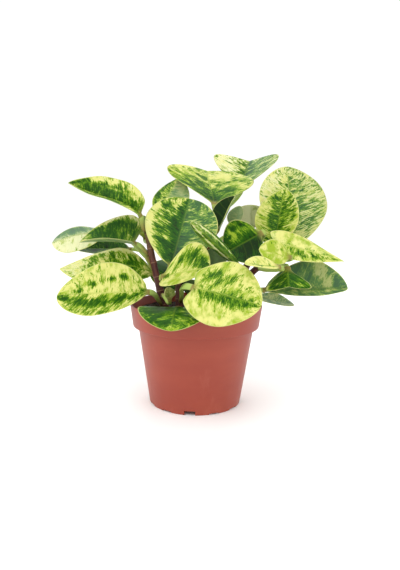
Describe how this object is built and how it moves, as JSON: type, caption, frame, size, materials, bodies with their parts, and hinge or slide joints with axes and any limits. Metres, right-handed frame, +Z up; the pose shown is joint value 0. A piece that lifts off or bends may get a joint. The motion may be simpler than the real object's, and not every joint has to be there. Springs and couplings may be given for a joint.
{
  "type": "potted houseplant",
  "caption": "Variegated peperomia with thick, rounded, green-and-cream leaves on dark branching stems, planted in soil in a round tapered plastic nursery pot with a deep lip and a notched foot.",
  "frame": {"origin": "on the pot's axis, at the flat hub under the pot, level with the foot it stands on", "axes": "+Z up along the pot's axis, -Y towards the side the plant is seen from, +X to its right"},
  "size_m": [0.2716, 0.19, 0.2309],
  "materials": {
    "pot_plastic": "satin",
    "potting_soil": "matte",
    "stem_bark": "satin",
    "leaf_variegated": "gloss",
    "leaf_shaded": "gloss"
  },
  "bodies": {
    "root": {"pot": "pot_plastic", "soil": "potting_soil", "stem_left": "stem_bark", "stem_front": "stem_bark", "stem_centre": "stem_bark", "stem_right": "stem_bark", "stem_far_right": "stem_bark", "leaf_upper_left": "leaf_variegated", "leaf_upper_left_back": "leaf_variegated", "leaf_left_inner": "leaf_variegated", "leaf_left_low": "leaf_variegated", "leaf_left_mid": "leaf_variegated", "leaf_left_cupped": "leaf_variegated", "leaf_left_far": "leaf_variegated", "leaf_left_shaded": "leaf_shaded", "leaf_back_left": "leaf_shaded", "leaf_centre_large": "leaf_variegated", "leaf_centre_small": "leaf_variegated", "leaf_front_right": "leaf_variegated", "leaf_front_low": "leaf_variegated", "leaf_front_tiny": "leaf_variegated", "leaf_centre_narrow": "leaf_variegated", "leaf_top_centre": "leaf_variegated", "leaf_top_back": "leaf_variegated", "leaf_top_dark": "leaf_shaded", "leaf_centre_olive": "leaf_shaded", "leaf_back_blue": "leaf_variegated", "leaf_back_pale": "leaf_variegated", "leaf_centre_shaded": "leaf_variegated", "leaf_inner_low": "leaf_shaded", "leaf_right_round": "leaf_variegated", "leaf_right_cup": "leaf_variegated", "leaf_right_long": "leaf_variegated", "leaf_right_yellow": "leaf_variegated", "leaf_right_flat": "leaf_variegated", "leaf_right_drooping": "leaf_variegated", "leaf_right_low": "leaf_variegated", "leaf_right_lowest": "leaf_variegated", "leaf_right_behind": "leaf_shaded"}
  },
  "joints": []
}
